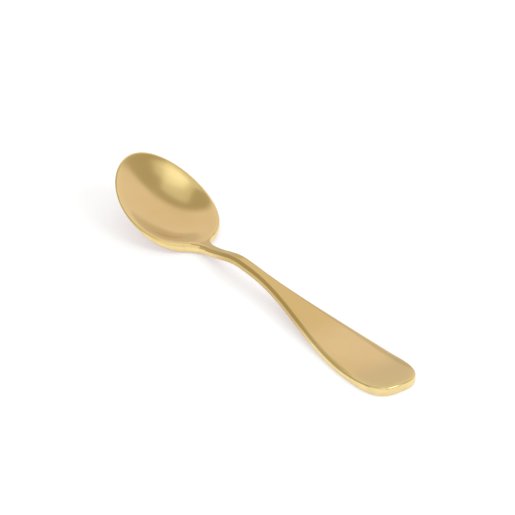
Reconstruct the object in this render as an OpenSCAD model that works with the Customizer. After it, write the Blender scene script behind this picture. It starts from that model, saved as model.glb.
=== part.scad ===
// Demitasse spoon: an egg-shaped bowl, a slim neck and a handle that widens to a rounded end.
// It lies bowl up on a table at z = 0, with the handle towards +X and half of its length on
// each side of x = 0. Sizes are millimetres and degrees. Places along the spoon are distances
// from the tip of the bowl.

/* [Overall] */
// Length of the spoon, from the tip of the bowl to the end of the handle
spoon_l = 110; // [102:0.5:125]

/* [Bowl] */
// Length of the hollow
bowl_l = 30.4; // [27:0.1:36]
// Width of the bowl over its rim
bowl_w = 23.7; // [20:0.1:28]
// Depth of the hollow below its rim line
bowl_d = 3.2; // [2.8:0.1:5]
// Skew of the bowl's outline: 1 is an ellipse, more moves the widest place towards the neck
bowl_skew = 1.06; // [0.95:0.01:1.2]
// Fullness of the bowl's outline: 2 is an ellipse, more is squarer
bowl_full = 2.1; // [1.9:0.05:2.5]
// Fullness of the hollow: 2 is a round dish, more has a flatter floor and steeper walls
dish_full = 1.95; // [1.7:0.05:2.8]
// Thickness of the metal at the tip and along the rim
bowl_t = 1; // [0.8:0.05:1.4]
// Length of the thin front of the bowl, from which the metal thickens up to the neck
thin_l = 14; // [8:0.5:18]
// Distance that the bowl's underside runs on past the hollow, below the neck
heel_l = 3; // [1:0.1:5]
// Softness of the hollow's end at the neck, as the share of its depth that rolls out there
neck_roll = 0.55; // [0.2:0.05:0.8]
// Softness of the hollow along the rest of the rim, as the share of its depth that rolls out there
rim_roll = 0.3; // [0.05:0.05:0.4]

/* [Neck] */
// Width of the neck
neck_w = 3.2; // [2.8:0.1:5]
// Length of the straight neck, between the shoulders and the handle
neck_l = 19; // [12:0.5:24]
// Width at which the shoulder arcs leave the bowl's outline
shoulder_w = 9.4; // [7:0.1:12]

/* [Handle] */
// Width of the handle at its widest place
handle_w = 14.6; // [10:0.1:19]
// Distance from the end of the handle back to its widest place
widest_back = 10.5; // [2:0.5:18]
// Length of the rounded end
end_l = 11.5; // [6:0.5:16]
// Fullness of the rounded end: 2 is half an ellipse, more is squarer
end_full = 3.1; // [2:0.05:4]
// Thickness of the neck
stem_t = 2; // [1.6:0.05:2.6]
// Thickness of the handle at its end, to which it grows along the arch
end_t = 2.3; // [1.8:0.05:3]
// Fall of the top face from its middle to its edges, at the widest place. It levels out at the end.
crown = 0.6; // [0.1:0.05:0.8]
// Fullness of the top face: more keeps its middle flatter and its fall closer to the edges
crown_full = 6; // [3:0.5:8]

/* [Side view] */
// Height of the rim at the tip over the rim at the neck
tip_rise = 11.9; // [6:0.1:15]
// Angle at which the rim rises to the tip
tip_angle = 34; // [20:1:44]
// Angle at which the rim still falls where it meets the neck
neck_fall = 11; // [4:0.5:14]
// Distance from the end of the neck back to the crest of the arch
crest_back = 5; // [0:0.5:9]
// Height of the top face at the crest of the arch
crest_h = 6; // [5:0.1:9]
// Length of the flat foot under the handle, up to its end
foot_l = 14.5; // [12:0.5:24]

/* [Edges] */
// Reach of the rounding on every edge
edge_r = 0.6; // [0.4:0.05:0.8]
// Fullness of the rounding along the handle: 2 is half round, as along the bowl, more is squarer
edge_full = 3.5; // [2:0.1:5]

/* [Hidden] */

gold = "#dcba82";

// Rows of points along each stretch, and steps across a face and round an edge
bowl_rows = 30;
shoulder_rows = 5;
neck_rows = 6;
handle_rows = 24;
end_rows = 9;
face_steps = 6;
edge_steps = 6;
tiny = 0.001;
neck_row = bowl_rows + shoulder_rows;
handle_row = neck_row + neck_rows;
end_row = handle_row + handle_rows + end_rows;

// Smooth step from 0 to 1
function ease(t) =
    let (c = min(max(t, 0), 1))
    c * c * (3 - 2 * c);

// Cubic between two knots, each a place, a height and a slope
function cubic(a, b, x) =
    let (h = b[0] - a[0])
    let (t = (x - a[0]) / h)
    let (s = 1 - t)
    s * s * ((1 + 2 * t) * a[1] + t * h * a[2]) + t * t * ((1 + 2 * s) * b[1] - s * h * b[2]);

// Direction of a curve at t
function heading(curve, t) =
    let (d = curve(t + tiny) - curve(t - tiny))
    atan2(d[1], d[0]);

// Outline of the bowl, by turn from the tip at 0 to the neck at 180
egg = function (turn) [
    bowl_l * pow((1 - cos(turn)) / 2, 1 / bowl_skew),
    bowl_w / 2 * pow(1 - pow(abs(cos(turn)), bowl_full), 1 / bowl_full)
];

// The shoulder arcs leave the egg where it has narrowed to shoulder_w and end along the neck
leave_turn = acos(-pow(1 - pow(shoulder_w / bowl_w, bowl_full), 1 / bowl_full));
leave_angle = -heading(egg, leave_turn);
shoulder_r = (shoulder_w - neck_w) / 2 / (1 - cos(leave_angle));
neck_x = egg(leave_turn)[0] + shoulder_r * sin(leave_angle);
handle_x = neck_x + neck_l;
end_x = spoon_l - end_l;
crest_x = handle_x - crest_back;
foot_x = spoon_l - foot_l;

// Shoulder arc, by angle from the neck
shoulder = function (angle) [
    neck_x - shoulder_r * sin(angle),
    neck_w / 2 + shoulder_r * (1 - cos(angle))
];

// Side of the neck and the handle, by place
side = function (x) [
    x,
    (neck_w + (handle_w - neck_w) * ease((x - handle_x) / (spoon_l - widest_back - handle_x))) / 2
];

// Rounded end of the handle, by turn from its side at 0 to its middle at 90
tail = function (turn)
    let (x = end_x + end_l * pow(sin(turn), 2 / end_full))
    [x, side(x)[1] * pow(cos(turn), 2 / end_full)];

// Outline as rows from tip to end, each a place, a half width and a heading
function walk(curve, places) = [for (t = places) [each curve(t), heading(curve, t)]];
rows = [
    [0, 0, 90],
    each walk(egg, [for (i = [1 : bowl_rows - 1]) leave_turn * i / bowl_rows]),
    for (i = [shoulder_rows : -1 : 1]) let (a = leave_angle * i / shoulder_rows) [each shoulder(a), -a],
    for (i = [0 : neck_rows]) [neck_x + neck_l * i / neck_rows, neck_w / 2, 0],
    each walk(side, [for (i = [1 : handle_rows]) handle_x + (end_x - handle_x) * i / handle_rows]),
    each walk(tail, [for (i = [1 : end_rows - 1]) 90 * i / end_rows]),
    [spoon_l, 0, -90]
];

// Place on the centre line where a row starts: rows fan out round the tip and round the end
tip_fan = bowl_l / 4;
end_fan = end_l * 0.8;
fan_l = end_l * 2;
function spine(x) = x + tip_fan * (1 - ease(2 * x / bowl_l)) - end_fan * ease((x - spoon_l) / fan_l + 1);

// Thickness of the metal, which grows along the back of the bowl and again along the arch
function thick(x) =
    bowl_t + (stem_t - bowl_t) * ease((x - thin_l) / (bowl_l - thin_l))
    + (end_t - stem_t) * ease((x - crest_x) / (foot_x - crest_x));

// Share of the full depth at a point of a hollow of length l. It rolls out along the rim, and over
// another share of the depth towards the neck.
function dish(x, y, l) =
    let (a = abs(2 * pow(max(x, 0) / l, bowl_skew) - 1))
    let (b = abs(2 * y / bowl_w))
    let (h = 1 - pow(pow(a, bowl_full) + pow(b, bowl_full), dish_full / bowl_full))
    let (roll = rim_roll + (neck_roll - rim_roll) * ease(2 * x / bowl_l - 1))
    h > roll ? h : pow(max(h + roll, 0), 2) / (4 * roll);

// The rim line rises to the tip, and lies as high at the neck as lets the bowl touch the table
function rim_rise(x) = cubic([0, tip_rise, -tan(tip_angle)], [bowl_l, 0, -tan(neck_fall)], x);
function drop(x) = thick(x) + bowl_d * dish(x, 0, bowl_l + heel_l);
neck_h = max([for (r = rows) let (x = spine(r[0])) if (x < bowl_l) drop(x) - rim_rise(x)]);

// Height of the top line along the spoon: the bowl's rim, the arch and the flat foot
function top_line(x) =
    x < bowl_l ? neck_h + rim_rise(x) :
    x < crest_x ? cubic([bowl_l, neck_h, -tan(neck_fall)], [crest_x, crest_h, 0], x) :
    x < foot_x ? cubic([crest_x, crest_h, 0], [foot_x, end_t, 0], x) :
    end_t;

// Height of the top face at share q of the way out to the rounded edge, and of the underside
function top_z(p, q) =
    let (fall = crown * (1 - ease((p[0] - foot_x) / foot_l)) * side(p[0])[1] / (handle_w / 2))
    top_line(p[0]) - bowl_d * dish(p[0], p[1], bowl_l) - fall * pow(q, crown_full);
function under_z(p) = top_line(p[0]) - thick(p[0]) - bowl_d * dish(p[0], p[1], bowl_l + heel_l);

// Half ring of a row: out over the top face, round the edge and back along the underside
function half_ring(row) =
    let (middle = [spine(row[0]), 0])
    let (out = [-sin(row[2]), cos(row[2])])
    let (inner = [row[0], row[1]] - edge_r * out)
    let (power = 2 / (2 + (edge_full - 2) * ease((row[0] - bowl_l) / (crest_x - bowl_l))))
    let (face = [for (i = [0 : face_steps]) sin(90 * i / face_steps)])
    let (rib = inner - middle)
    let (top = [for (q = face) let (p = middle + q * rib) [each p, top_z(p, q)]])
    let (under = [for (q = face) let (p = middle + q * rib) [each p, under_z(p)]])
    let (top_edge = top[face_steps][2])
    let (under_edge = under[face_steps][2])
    let (next = inner + tiny * out)
    let (top_slope = (top_z(next, 1 + tiny / norm(rib)) - top_edge) / tiny)
    let (under_slope = (under_z(next) - under_edge) / tiny)
    let (edge = [
        for (i = [1 : edge_steps - 1])
        let (a = 180 * i / edge_steps)
        let (reach = edge_r * pow(sin(a), power))
        let (share = (1 + sign(cos(a)) * pow(abs(cos(a)), power)) / 2)
        let (z_top = top_edge + reach * top_slope)
        let (z_under = under_edge + reach * under_slope)
        [each (inner + reach * out), z_under + share * (z_top - z_under)]
    ])
    [each top, each edge, for (i = [face_steps : -1 : 0]) under[i]];

// Full ring: the half ring and its mirror image, without the points on the centre line again
function ring(row) =
    let (half = half_ring(row))
    [each half, for (i = [len(half) - 2 : -1 : 1]) [half[i][0], -half[i][1], half[i][2]]];

// Closed stretch of the spoon between two rows. The first and last row of the spoon are folded
// flat, so both of their halves share the same points.
module stretch(first, last) {
    rings = [for (r = [first : last]) ring(rows[r])];
    size = len(rings[0]);
    fold = size / 2;
    function at(r, k) =
        let (j = k % size)
        let (folded = (r == 0 || r == end_row) && j > fold)
        (r - first) * size + (folded ? size - j : j);
    walls = [
        for (r = [first : last - 1])
        for (k = [0 : size - 1])
        let (a = at(r, k))
        let (b = at(r, k + 1))
        let (c = at(r + 1, k + 1))
        let (d = at(r + 1, k))
        let (quarter = floor(4 * k / size) + (r < neck_row ? 0 : 1))
        each quarter % 2 == 0 ? [[a, b, c], [a, c, d]] : [[b, c, d], [b, d, a]]
    ];
    start_cap = [if (first > 0) [for (k = [size - 1 : -1 : 0]) at(first, k)]];
    end_cap = [if (last < end_row) [for (k = [0 : size - 1]) at(last, k)]];
    translate([-spoon_l / 2, 0, 0])
        polyhedron([for (r = rings) each r], concat(walls, start_cap, end_cap), convexity = 4);
}

// Egg-shaped bowl with its shoulders, from the tip to the start of the neck
module bowl() {
    color(gold) stretch(0, neck_row);
}

// Slim straight neck
module neck() {
    color(gold) stretch(neck_row, handle_row);
}

// Handle that arches over, widens and ends flat on the table
module handle() {
    color(gold) stretch(handle_row, end_row);
}

bowl();
neck();
handle();
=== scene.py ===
import bpy
import numpy as np
from mathutils import Matrix, Vector


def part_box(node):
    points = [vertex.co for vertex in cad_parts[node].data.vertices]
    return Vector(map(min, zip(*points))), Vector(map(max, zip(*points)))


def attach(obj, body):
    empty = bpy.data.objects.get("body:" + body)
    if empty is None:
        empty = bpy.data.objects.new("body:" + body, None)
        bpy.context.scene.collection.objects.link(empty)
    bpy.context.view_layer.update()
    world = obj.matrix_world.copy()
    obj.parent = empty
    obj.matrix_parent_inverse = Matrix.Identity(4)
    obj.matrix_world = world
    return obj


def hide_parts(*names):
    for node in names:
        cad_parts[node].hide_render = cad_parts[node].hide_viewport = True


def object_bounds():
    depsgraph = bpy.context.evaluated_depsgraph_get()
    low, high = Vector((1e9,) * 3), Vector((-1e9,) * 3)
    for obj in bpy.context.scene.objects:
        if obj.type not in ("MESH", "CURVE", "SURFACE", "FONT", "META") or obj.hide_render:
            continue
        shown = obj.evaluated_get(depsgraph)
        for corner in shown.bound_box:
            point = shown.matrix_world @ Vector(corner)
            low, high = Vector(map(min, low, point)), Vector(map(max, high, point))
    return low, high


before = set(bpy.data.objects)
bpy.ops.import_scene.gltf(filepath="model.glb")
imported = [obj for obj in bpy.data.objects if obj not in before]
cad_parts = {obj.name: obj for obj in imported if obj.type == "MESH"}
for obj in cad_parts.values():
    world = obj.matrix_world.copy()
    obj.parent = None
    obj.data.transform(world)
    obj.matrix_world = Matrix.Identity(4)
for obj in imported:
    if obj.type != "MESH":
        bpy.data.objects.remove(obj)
cadBox = [list(corner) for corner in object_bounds()]
print("frame loaded:", ", ".join(sorted(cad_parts)))


# camera: the photograph's viewing angle, framed for a square picture

cameraView = {
    "azimuth": 53.83,               # degrees round the spoon, 0 looks along +Y
    "elevation": 30.4,              # degrees above the table
    "distance": 0.621,              # metres from the aim point
    "aim": (-0.00666, 0.00426, 0.005),
    "focalPixels": 2534.6,          # focal length in pixels of the square picture
    "picturePixels": 515.0,
    "clipStart": 0.01,
}


def bearing(azimuth, elevation):
    # unit vector from the aim point out towards a camera or lamp at that azimuth and elevation
    a, e = np.radians(azimuth), np.radians(elevation)
    return np.array([np.sin(a) * np.cos(e), -np.cos(a) * np.cos(e), np.sin(e)])


def facing(place, outward):
    # matrix of a camera or lamp at a place, whose back points outward and whose picture stays level
    back = Vector(outward).normalized()
    right = Vector((0, 0, 1)).cross(back).normalized()
    turn = Matrix((right, back.cross(right), back)).transposed()
    return Matrix.Translation(Vector(place)) @ turn.to_4x4()


def addCamera(view):
    # camera turned to the aim point, with a lens that follows from the focal length in pixels
    lens = bpy.data.cameras.new("camera")
    lens.sensor_fit = "HORIZONTAL"
    lens.lens = lens.sensor_width * view["focalPixels"] / view["picturePixels"]
    lens.clip_start = view["clipStart"]
    eye = bpy.data.objects.new("camera", lens)
    outward = bearing(view["azimuth"], view["elevation"])
    eye.matrix_world = facing(np.array(view["aim"]) + outward * view["distance"], outward)
    bpy.context.collection.objects.link(eye)
    bpy.context.scene.camera = eye


addCamera(cameraView)
print("camera set")


# shape: one skin runs from the tip of the bowl to the end of the handle, a grid of rows along and rings around

spoonLow, spoonHigh = (np.array(corner) for corner in cadBox)
neckLow, neckHigh = (np.array(corner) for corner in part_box("neck"))

spoonLength = spoonHigh[0] - spoonLow[0]
neckStart = neckLow[0] - spoonLow[0]        # places along the spoon are measured from the tip
neckEnd = neckHigh[0] - spoonLow[0]
neckHalf = neckHigh[1]

bowlShape = {
    "hollow": 0.0304,               # length of the hollow
    "halfWidth": 0.01185,
    "depth": 0.0032,
    "skew": 1.06,                   # over 1 moves the widest place towards the neck
    "outline": 2.1,                 # 2 is an ellipse, more is squarer
    "dish": 1.95,                   # 2 is a round dish, more has a flatter floor
    "metal": 0.001,                 # thickness along the rim
    "thinFront": 0.014,             # where the metal starts to thicken
    "heel": 0.003,                  # run of the underside past the hollow
    "shoulderHalf": 0.0047,         # half width where the shoulder arcs leave the egg
    "rimRoll": 0.3,                 # share of the depth that rolls out along the rim
    "neckRoll": 0.55,               # and at the neck
    "tipRise": 0.0119,
    "tipAngle": 34.0,
    "neckFall": 11.0,
}

neckShape = {                       # its ends and its width are those of the frame's node
    "metal": 0.002,                 # thickness along it
    "crestBack": 0.005,             # from its end back to the crest of the arch
    "crestHeight": 0.006,
}

handleShape = {
    "halfWidth": 0.0073,
    "widestBack": 0.0105,           # from the end back to the widest place
    "endLength": 0.0115,
    "endOutline": 3.1,              # 2 is an ellipse, more is squarer
    "metal": 0.0023,                # thickness at the end
    "crown": 0.0006,                # fall of the top face at its edges, levelling out at the end
    "crownPower": 6.0,              # more keeps the middle flatter
    "footLength": 0.0145,           # flat stretch under the end
}

edgeShape = {
    "reach": 0.0006,
    "fullness": 3.5,                # along the handle: 2 is half round, as along the bowl, more is squarer
    "wearAndSheenStart": 0.2,               # wear and painted sheen where the edge begins, growing to 1 at its outermost line
    "wearAndSheenFade": 12,                 # power by which it fades over the faces
}

gridSteps = {"bowl": 170, "shoulder": 36, "neck": 80, "handle": 150, "end": 60, "face": 36, "edge": 24}
rowFan = {"tip": 0.25, "end": 0.8}      # the rows fan out from inside the bowl and inside the handle's end
seatSearch = (0.2, 1, 2000)             # stretch of the hollow, and steps, for finding its lowest place
nudge = 1e-6                            # step that slopes are measured over
nearCut = 2e-5                          # rows this close to a cut keep the shading of both pieces alike

crestPlace = neckEnd - neckShape["crestBack"]
footPlace = spoonLength - handleShape["footLength"]


def easeStep(t):
    # smooth step from 0 to 1: t squared times (3 - 2t), held outside of that
    c = np.clip(t, 0, 1)
    return c * c * (3 - 2 * c)


def cubicSpan(a, b, x):
    # cubic between two knots, each a place, a height and a slope
    h = b[0] - a[0]
    t = (x - a[0]) / h
    s = 1 - t
    return s * s * ((1 + 2 * t) * a[1] + t * h * a[2]) + t * t * ((1 + 2 * s) * b[1] - s * h * b[2])


def eggOutline(turn):
    # bowl outline by turn from tip to neck: length follows half of 1 - cos, width closes as a power curve
    b = bowlShape
    x = b["hollow"] * ((1 - np.cos(turn)) / 2) ** (1 / b["skew"])
    y = b["halfWidth"] * (1 - np.abs(np.cos(turn)) ** b["outline"]) ** (1 / b["outline"])
    return np.stack([x, y], -1)


def sideOutline(x):
    # half width of neck and handle: a smooth step from the neck's width to the handle's
    flare = spoonLength - handleShape["widestBack"] - neckEnd
    half = neckHalf + (handleShape["halfWidth"] - neckHalf) * easeStep((x - neckEnd) / flare)
    return np.stack([x, half], -1)


def endOutline(turn):
    # rounded end by turn from its side to its middle: a quarter of a power ellipse under the side's width
    length, power = handleShape["endLength"], 2 / handleShape["endOutline"]
    x = spoonLength - length + length * np.sin(turn) ** power
    return np.stack([x, sideOutline(x)[..., 1] * np.cos(turn) ** power], -1)


def walk(curve, places):
    # points of a curve with the curve's heading at each, as place, half width and angle
    ahead = curve(places + nudge) - curve(places - nudge)
    return np.column_stack([curve(places), np.arctan2(ahead[:, 1], ahead[:, 0])])


def spoonOutline():
    # rows from tip to end: egg, shoulder arc, straight neck, flaring side, rounded end
    b, n = bowlShape, gridSteps
    leaveShare = (b["shoulderHalf"] / b["halfWidth"]) ** b["outline"]
    leaveTurn = np.arccos(-(1 - leaveShare) ** (1 / b["outline"]))
    leaveAngle = -walk(eggOutline, np.array([leaveTurn]))[0, 2]
    radius = (b["shoulderHalf"] - neckHalf) / (1 - np.cos(leaveAngle))
    arc = np.append(np.linspace(leaveAngle, 0, n["shoulder"], endpoint=False), nearCut / radius)
    shoulder = np.column_stack([
        neckStart - radius * np.sin(arc), neckHalf + radius * (1 - np.cos(arc)), -arc])
    straight = np.linspace(neckStart, neckEnd, n["neck"] + 1)
    straight = np.sort(np.append(straight, [neckStart + nearCut, neckEnd - nearCut]))
    neck = np.column_stack([straight, np.full_like(straight, neckHalf), np.zeros_like(straight)])
    endStart = spoonLength - handleShape["endLength"]
    flare = np.append(neckEnd + nearCut, np.linspace(neckEnd, endStart, n["handle"] + 1)[1:])
    return np.vstack([
        [0, 0, np.pi / 2],
        walk(eggOutline, np.linspace(0, leaveTurn, n["bowl"], endpoint=False)[1:]),
        shoulder,
        neck,
        walk(sideOutline, flare),
        walk(endOutline, np.linspace(0, np.pi / 2, n["end"] + 1)[1:-1]),
        [spoonLength, 0, -np.pi / 2],
    ])


def metalThickness(x):
    # thin along the rim, thickening by smooth steps over the back of the bowl and again along the arch
    rim, neck, end = (shape["metal"] for shape in (bowlShape, neckShape, handleShape))
    front = bowlShape["thinFront"]
    back = easeStep((x - front) / (bowlShape["hollow"] - front))
    arch = easeStep((x - crestPlace) / (footPlace - crestPlace))
    return rim + (neck - rim) * back + (end - neck) * arch


def dishShare(x, y, length):
    # share of the depth: 1 minus a power of the distance from the egg's middle, rolled out to 0 at the rim
    b = bowlShape
    along = np.abs(2 * (np.maximum(x, 0) / length) ** b["skew"] - 1) ** b["outline"]
    across = np.abs(y / b["halfWidth"]) ** b["outline"]
    share = 1 - (along + across) ** (b["dish"] / b["outline"])
    roll = b["rimRoll"] + (b["neckRoll"] - b["rimRoll"]) * easeStep(2 * x / b["hollow"] - 1)
    return np.where(share > roll, share, np.maximum(share + roll, 0) ** 2 / (4 * roll))


def rimRise(x):
    # rim line over its own height at the neck: a cubic that climbs to the tip
    b = bowlShape
    slopes = -np.tan(np.radians([b["tipAngle"], b["neckFall"]]))
    return cubicSpan((0, b["tipRise"], slopes[0]), (b["hollow"], 0, slopes[1]), x)


def rimSeat():
    # height of the rim at the neck that sets the lowest place of the bowl on the table
    b = bowlShape
    x = np.linspace(*seatSearch) * b["hollow"]
    below = metalThickness(x) + b["depth"] * dishShare(x, 0 * x, b["hollow"] + b["heel"])
    return np.max(below - rimRise(x))


seatHeight = rimSeat()


def topLine(x):
    # height of the top along the middle: rim, rise to the crest, fall to the foot, flat foot
    hollow, footHeight = bowlShape["hollow"], handleShape["metal"]
    neckKnot = (hollow, seatHeight, -np.tan(np.radians(bowlShape["neckFall"])))
    crestKnot = (crestPlace, neckShape["crestHeight"], 0)
    footKnot = (footPlace, footHeight, 0)
    return np.select(
        [x < hollow, x < crestPlace, x < footPlace],
        [seatHeight + rimRise(x), cubicSpan(neckKnot, crestKnot, x), cubicSpan(crestKnot, footKnot, x)],
        footHeight)


def topHeight(x, y, share):
    # top face: the top line, less the dish, less a crown that falls with a power of the way out to the edge
    h = handleShape
    level = easeStep((x - spoonLength) / h["footLength"] + 1)
    crown = h["crown"] * (1 - level) * sideOutline(x)[..., 1] / h["halfWidth"] * share ** h["crownPower"]
    return topLine(x) - bowlShape["depth"] * dishShare(x, y, bowlShape["hollow"]) - crown


def underHeight(x, y):
    # underside: the top line, less the metal, less a dish that runs on into the heel
    length = bowlShape["hollow"] + bowlShape["heel"]
    return topLine(x) - metalThickness(x) - bowlShape["depth"] * dishShare(x, y, length)


def spoonSkin(rows):
    # rings by row: out over the top face, round a power-curve edge, back along the underside, then mirrored
    place, half, angle = rows.T
    reach = edgeShape["reach"]
    hollow, endLength = bowlShape["hollow"], handleShape["endLength"]
    square = easeStep((place - hollow) / (crestPlace - hollow))
    power = 2 / (2 + (edgeShape["fullness"] - 2) * square)[:, None]
    tipFan = rowFan["tip"] * hollow * (1 - easeStep(2 * place / hollow))
    endFan = rowFan["end"] * endLength * easeStep((place - spoonLength) / (2 * endLength) + 1)
    middle = (place + tipFan - endFan)[:, None]
    outX, outY = -np.sin(angle)[:, None], np.cos(angle)[:, None]
    innerX, innerY = place[:, None] - reach * outX, half[:, None] - reach * outY
    share = np.sin(np.linspace(0, np.pi / 2, gridSteps["face"] + 1))[None, :]
    faceX, faceY = middle + share * (innerX - middle), share * innerY
    top, under = topHeight(faceX, faceY, share), underHeight(faceX, faceY)
    run = np.hypot(innerX - middle, innerY)
    nextX, nextY = innerX + nudge * outX, innerY + nudge * outY
    topSlope = (topHeight(nextX, nextY, 1 + nudge / run) - top[:, -1:]) / nudge
    underSlope = (underHeight(nextX, nextY) - under[:, -1:]) / nudge
    turn = np.linspace(0, np.pi, gridSteps["edge"] + 1)[None, 1:-1]
    out = reach * np.sin(turn) ** power
    lean = (1 + np.sign(np.cos(turn)) * np.abs(np.cos(turn)) ** power) / 2
    edgeTop, edgeUnder = top[:, -1:] + out * topSlope, under[:, -1:] + out * underSlope
    x = np.hstack([faceX, innerX + out * outX, faceX[:, ::-1]]) + spoonLow[0]
    y = np.hstack([faceY, innerY + out * outY, faceY[:, ::-1]])
    z = np.hstack([top, edgeUnder + lean * (edgeTop - edgeUnder), under[:, ::-1]])
    # mask of edge wear and of a painted sheen on the edges
    start = edgeShape["wearAndSheenStart"]
    inner = np.broadcast_to(start * share ** edgeShape["wearAndSheenFade"], top.shape)
    wearAndSheenMask = np.hstack([inner, start + (1 - start) * (out / reach) ** 2, inner[:, ::-1]])
    y, z = y * spoonHigh[1] / y.max(), z * spoonHigh[2] / z.max()   # the finer skin keeps to the CAD box
    halfRing = np.stack([x, y, z, wearAndSheenMask], -1)
    mirrored = halfRing[:, -2:0:-1] * np.array([1, -1, 1, 1])
    return np.concatenate([halfRing, mirrored], 1)


def stretchMesh(name, skin, first, last):
    # closed mesh between two rows: triangles between neighbouring rings, a flat cap at each cut
    count, size = skin.shape[:2]
    index = np.arange(count * size).reshape(count, size)
    for folded in (0, count - 1):                       # both halves of the end rows share their points
        index[folded, size // 2 + 1:] = index[folded, size // 2 - 1:0:-1]
    part = index[first:last + 1]
    nextPart = np.roll(part, -1, 1)
    a, b, c, d = part[:-1], nextPart[:-1], nextPart[1:], part[1:]
    quarter = 4 * np.arange(size) // size               # diagonals mirror each other by quarter
    flip = ((quarter + (np.arange(first, last)[:, None] >= count // 2)) % 2 == 1)[..., None]
    one = np.where(flip, np.stack([d, c, b], -1), np.stack([c, b, a], -1))
    two = np.where(flip, np.stack([a, d, b], -1), np.stack([d, c, a], -1))
    walls = np.concatenate([one.reshape(-1, 3), two.reshape(-1, 3)])
    caps = []
    if first > 0:
        caps.append(part[0])
    if last < count - 1:
        caps.append(part[-1, ::-1])
    used, packed = np.unique(np.concatenate([walls.ravel(), *caps]), return_inverse=True)
    corners = skin.reshape(-1, 4)[used]
    wallFaces = packed[:walls.size].reshape(-1, 3).tolist()
    capFaces = packed[walls.size:].reshape(len(caps), -1).tolist() if caps else []
    mesh = bpy.data.meshes.new(name)
    mesh.from_pydata(corners[:, :3], [], wallFaces + capFaces)
    smooth = np.ones(len(mesh.polygons), bool)
    smooth[len(wallFaces):] = False
    mesh.polygons.foreach_set("use_smooth", smooth)
    capEdges = {tuple(sorted(pair)) for cap in capFaces for pair in zip(cap, cap[1:] + cap[:1])}
    edges = np.empty(2 * len(mesh.edges), int)
    mesh.edges.foreach_get("vertices", edges)
    sharp = mesh.attributes.new("sharp_edge", "BOOLEAN", "EDGE")
    pairs = edges.reshape(-1, 2).tolist()
    sharp.data.foreach_set("value", [tuple(sorted(pair)) in capEdges for pair in pairs])
    # share of edge wear and painted sheen at each point
    wearAndSheenMask = mesh.attributes.new("edgeWearAndSheen", "FLOAT", "POINT")
    wearAndSheenMask.data.foreach_set("value", corners[:, 3].astype(np.float32))
    mesh.validate()
    mesh.update()
    return mesh


# finish: satin gold metal, brushed along the spoon, with painted shade deepening its tone along the arch and
# darkening the end of the handle, and edges a little smoother from wear and paler from wear and a painted
# sheen

goldFinish = {
    "gold": (0.69, 0.49, 0.248, 1.0),
    "deepGold": (0.63, 0.433, 0.2, 1.0),
    # paler gold where edges wear, made paler still as a painted sheen
    "wearAndSheenGold": (0.90, 0.72, 0.36, 1.0),
    # painted shade: a deeper gold along the arch
    "archShadeGold": (0.60, 0.415, 0.165, 1.0),
    # painted shade: a duller gold at the end of the handle
    "endShadeGold": (0.56, 0.405, 0.203, 1.0),
    "toneRange": (0.4, 0.85),       # noise from which gold goes over to deep gold
    "toneGrain": 0.25,              # part that the brush lines have in it
    "wearAndSheenEven": 0.55,                # wear and painted sheen: its even part, then those of smudges and brush lines
    "wearAndSheenSmudge": 0.9,
    "wearAndSheenGrain": 0.25,
    "archShadeRise": (-0.020, -0.011),   # places along X where the painted shade of the arch comes in
    "archShadeFall": (0.017, 0.031),     # and goes out
    "archShadeShare": 0.85,
    "endShadeRise": (0.041, 0.049),      # where the painted shade at the end of the handle comes in
    "roughness": 0.16,
    "streakRoughness": 0.10,
    "smudgeRoughness": 0.06,
    "wearSmoothing": 0.07,
    "streaksAcross": 5200.0,        # brush lines per metre across the spoon
    "streaksAlong": 90.0,           # breaks in a line per metre along it
    "clouds": 70.0,                 # tone changes per metre
    "smudges": 280.0,               # smudges per metre
    "bumpDepth": 0.0000035,
}
noiseMean = 0.5                     # about which a noise texture varies


class Wire:
    # a socket of a shader tree: arithmetic on it adds Math nodes, and add makes any other node
    def __init__(self, socket):
        self.socket = socket
        self.tree = socket.id_data

    def add(self, kind, settings=None, inputs=None, out=0):
        made = self.tree.nodes.new(kind)
        for name, value in (settings or {}).items():
            setattr(made, name, value)
        for name, value in (inputs or {}).items():
            if isinstance(value, Wire):
                self.tree.links.new(value.socket, made.inputs[name])
            else:
                made.inputs[name].default_value = value
        return Wire(made.outputs[out]) if made.outputs else None

    def math(self, operation, first, second):
        return self.add("ShaderNodeMath", {"operation": operation}, {0: first, 1: second})

    def ramp(self, start, stop):
        # smooth step from 0 at start to 1 at stop
        return self.add("ShaderNodeMapRange", {"interpolation_type": "SMOOTHSTEP"}, {
            "Value": self, "From Min": start, "From Max": stop})

    def __add__(self, other):
        return self.math("ADD", self, other)

    def __radd__(self, other):
        return self.math("ADD", other, self)

    def __sub__(self, other):
        return self.math("SUBTRACT", self, other)

    def __rsub__(self, other):
        return self.math("SUBTRACT", other, self)

    def __mul__(self, other):
        return self.math("MULTIPLY", self, other)

    def __rmul__(self, other):
        return self.math("MULTIPLY", other, self)


def emptyTree(owner, start, out=0):
    # a cleared node tree and the first wire in it
    owner.use_nodes = True
    owner.node_tree.nodes.clear()
    return Wire(owner.node_tree.nodes.new(start).outputs[out])


def mixColour(wire, factor, first, second):
    # first colour at factor 0, second at 1, in the two colour sockets of a Mix node
    return wire.add("ShaderNodeMix", {"data_type": "RGBA"}, {0: factor, 6: first, 7: second}, 2)


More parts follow.
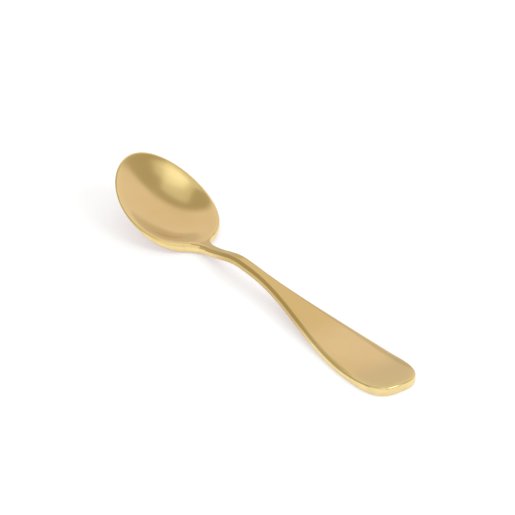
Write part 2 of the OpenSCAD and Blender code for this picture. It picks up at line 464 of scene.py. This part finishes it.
def goldMetal(f):
    # metal whose tone and roughness follow brush lines, clouds, smudges and edge wear with a painted sheen;
    # its tone also carries painted shade by the place along X
    metal = bpy.data.materials.new("satinGold")
    where = emptyTree(metal, "ShaderNodeTexCoord", 3)       # Object coordinates
    grainScale = (f["streaksAlong"], f["streaksAcross"], f["streaksAcross"])
    grainPlace = where.add(
        "ShaderNodeMapping", {"vector_type": "POINT"}, {"Vector": where, "Scale": grainScale})
    grain = where.add("ShaderNodeTexNoise", {}, {
        "Vector": grainPlace, "Scale": 1.0, "Detail": 3.0, "Roughness": 0.6})
    cloud = where.add("ShaderNodeTexNoise", {}, {"Vector": where, "Scale": f["clouds"], "Detail": 2.0})
    smudge = where.add("ShaderNodeTexNoise", {}, {"Vector": where, "Scale": f["smudges"], "Detail": 4.0})
    wearAndSheenMask = where.add("ShaderNodeAttribute", {"attribute_name": "edgeWearAndSheen"}, {}, 2)      # as a single value
    # mask of edge wear and painted sheen: it pales the edges' colour and smooths them
    wearAndSheen = wearAndSheenMask * (f["wearAndSheenEven"] + f["wearAndSheenSmudge"] * smudge - f["wearAndSheenGrain"] * grain)
    low, high = f["toneRange"]
    mottle = cloud + f["toneGrain"] * grain
    tone = where.add("ShaderNodeMapRange", {}, {"Value": mottle, "From Min": low, "From Max": high})
    along = where.add("ShaderNodeSeparateXYZ", {}, {"Vector": where})
    # masks along X of the painted shade on the arch and at the end of the handle
    archShadeIn, archShadeOut, end = (along.ramp(*f[name]) for name in ("archShadeRise", "archShadeFall", "endShadeRise"))
    colour = mixColour(where, tone, f["gold"], f["deepGold"])
    # painted shade at the end of the handle, set in the base colour; end is its mask
    colour = mixColour(where, end, colour, f["endShadeGold"])
    # edges paler from wear and from a painted sheen
    colour = mixColour(where, wearAndSheen, colour, f["wearAndSheenGold"])
    # painted shade along the arch, set in the base colour
    colour = mixColour(where, f["archShadeShare"] * archShadeIn * (1 - archShadeOut), colour, f["archShadeGold"])
    streaks = f["streakRoughness"] * (grain - noiseMean)
    smears = f["smudgeRoughness"] * (smudge - noiseMean)
    roughness = f["roughness"] + streaks + smears - f["wearSmoothing"] * wearAndSheen
    bump = where.add("ShaderNodeBump", {}, {"Height": grain, "Strength": 1.0, "Distance": f["bumpDepth"]})
    surface = where.add("ShaderNodeBsdfPrincipled", {}, {
        "Base Color": colour, "Roughness": roughness, "Normal": bump, "Metallic": 1.0})
    where.add("ShaderNodeOutputMaterial", {}, {"Surface": surface})
    return metal


satinGold = goldMetal(goldFinish)
outline = spoonOutline()
skin = spoonSkin(outline)
neckRow = int(np.argmin(np.abs(outline[:, 0] - neckStart)))
handleRow = int(np.argmin(np.abs(outline[:, 0] - neckEnd)))
lastRow = len(outline) - 1
stretches = (("bowl", 0, neckRow), ("neck", neckRow, handleRow), ("handle", handleRow, lastRow))
for node, first, last in stretches:
    piece = bpy.data.objects.new("satin_" + node, stretchMesh("satin_" + node, skin, first, last))
    bpy.context.collection.objects.link(piece)
    piece.data.materials.append(satinGold)
    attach(piece, "root")
    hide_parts(node)
    print(node, "made:", len(piece.data.polygons), "faces")


# table: a pale floor that shows white to the camera and in the metal, and keeps the spoon's shadow

tableTop = {
    "halfSize": 3.0,
    "colour": (0.62, 0.62, 0.62, 1.0),
    "lift": 0.45,                   # glow that lifts the lit table to white where it is seen
    "liftColour": (0.98, 0.97, 1.12, 1.0),
}


def addTable(t):
    # a flat square that is lit as it is and glows only in what the camera, mirrors and glass see
    mesh = bpy.data.meshes.new("table")
    s = t["halfSize"]
    mesh.from_pydata([(-s, -s, 0), (s, -s, 0), (s, s, 0), (-s, s, 0)], [], [(0, 1, 2, 3)])
    pale = bpy.data.materials.new("paleTable")
    camera = emptyTree(pale, "ShaderNodeLightPath")
    glossy = Wire(camera.socket.node.outputs["Is Glossy Ray"])
    through = Wire(camera.socket.node.outputs["Is Transmission Ray"])
    seen = camera.math("MINIMUM", camera + glossy + through, 1.0)
    matt = camera.add("ShaderNodeBsdfDiffuse", {}, {"Color": t["colour"]})
    glow = camera.add("ShaderNodeEmission", {}, {"Color": t["liftColour"], "Strength": t["lift"] * seen})
    both = camera.add("ShaderNodeAddShader", {}, {0: matt, 1: glow})
    camera.add("ShaderNodeOutputMaterial", {}, {"Surface": both})
    mesh.materials.append(pale)
    table = bpy.data.objects.new("table", mesh)
    bpy.context.collection.objects.link(table)


addTable(tableTop)
print("table laid")


# light: softboxes round the table, the overhead one fading out in three steps, and a dim warm room

softBoxes = [
    {"name": "sideBox", "azimuth": 110.0, "elevation": 38.0, "spin": 0.0, "size": (0.8, 0.6),
     "glow": 4.6, "tint": (0.94, 1.0, 1.02)},
    {"name": "keyBox", "azimuth": 66.6, "elevation": 66.0, "spin": -28.8, "size": (0.95, 0.98),
     "glow": 0.38, "tint": (0.84, 1.0, 0.99)},
    {"name": "keyFade", "azimuth": 94.0, "elevation": 71.0, "spin": -51.0, "size": (0.90, 0.66),
     "glow": 0.42, "tint": (0.84, 1.0, 0.99)},
    {"name": "topFade", "azimuth": 125.0, "elevation": 83.0, "spin": -91.0, "size": (0.8, 0.60),
     "glow": 0.42, "tint": (0.84, 1.0, 0.99)},
    {"name": "backBox", "azimuth": 208.4, "elevation": 30.5, "spin": 16.8, "size": (3.4, 2.7),
     "glow": 0.23, "tint": (0.96, 0.97, 1.2)},
    {"name": "liftBox", "azimuth": 217.0, "elevation": 47.8, "spin": 3.0, "size": (3.0, 1.25),
     "glow": 0.27, "tint": (0.96, 0.97, 1.2)},
    {"name": "fillBox", "azimuth": 34.0, "elevation": 30.0, "spin": 0.0, "size": (2.9, 1.8),
     "glow": 0.42, "tint": (1.0, 1.0, 1.0)},
]
roomGlow = (0.61, 0.60, 0.45, 1.0)
boxDistance = 1.6                       # metres from the aim point


def addSoftBox(box):
    # an area lamp turned to the aim point, spun about its own axis, whose face glows evenly
    lamp = bpy.data.lights.new(box["name"], "AREA")
    lamp.shape = "RECTANGLE"
    lamp.size, lamp.size_y = box["size"]
    lamp.color = box["tint"]
    lamp.energy = box["glow"] * np.pi * box["size"][0] * box["size"][1]
    holder = bpy.data.objects.new(box["name"], lamp)
    outward = bearing(box["azimuth"], box["elevation"])
    spin = Matrix.Rotation(np.radians(box["spin"]), 4, "Z")
    holder.matrix_world = facing(np.array(cameraView["aim"]) + outward * boxDistance, outward) @ spin
    bpy.context.collection.objects.link(holder)


for box in softBoxes:
    addSoftBox(box)
room = bpy.data.worlds.new("room")
bpy.context.scene.world = room
room.use_nodes = True
room.node_tree.nodes["Background"].inputs["Color"].default_value = roomGlow
bpy.context.scene.view_settings.view_transform = "Standard"
print("light set")
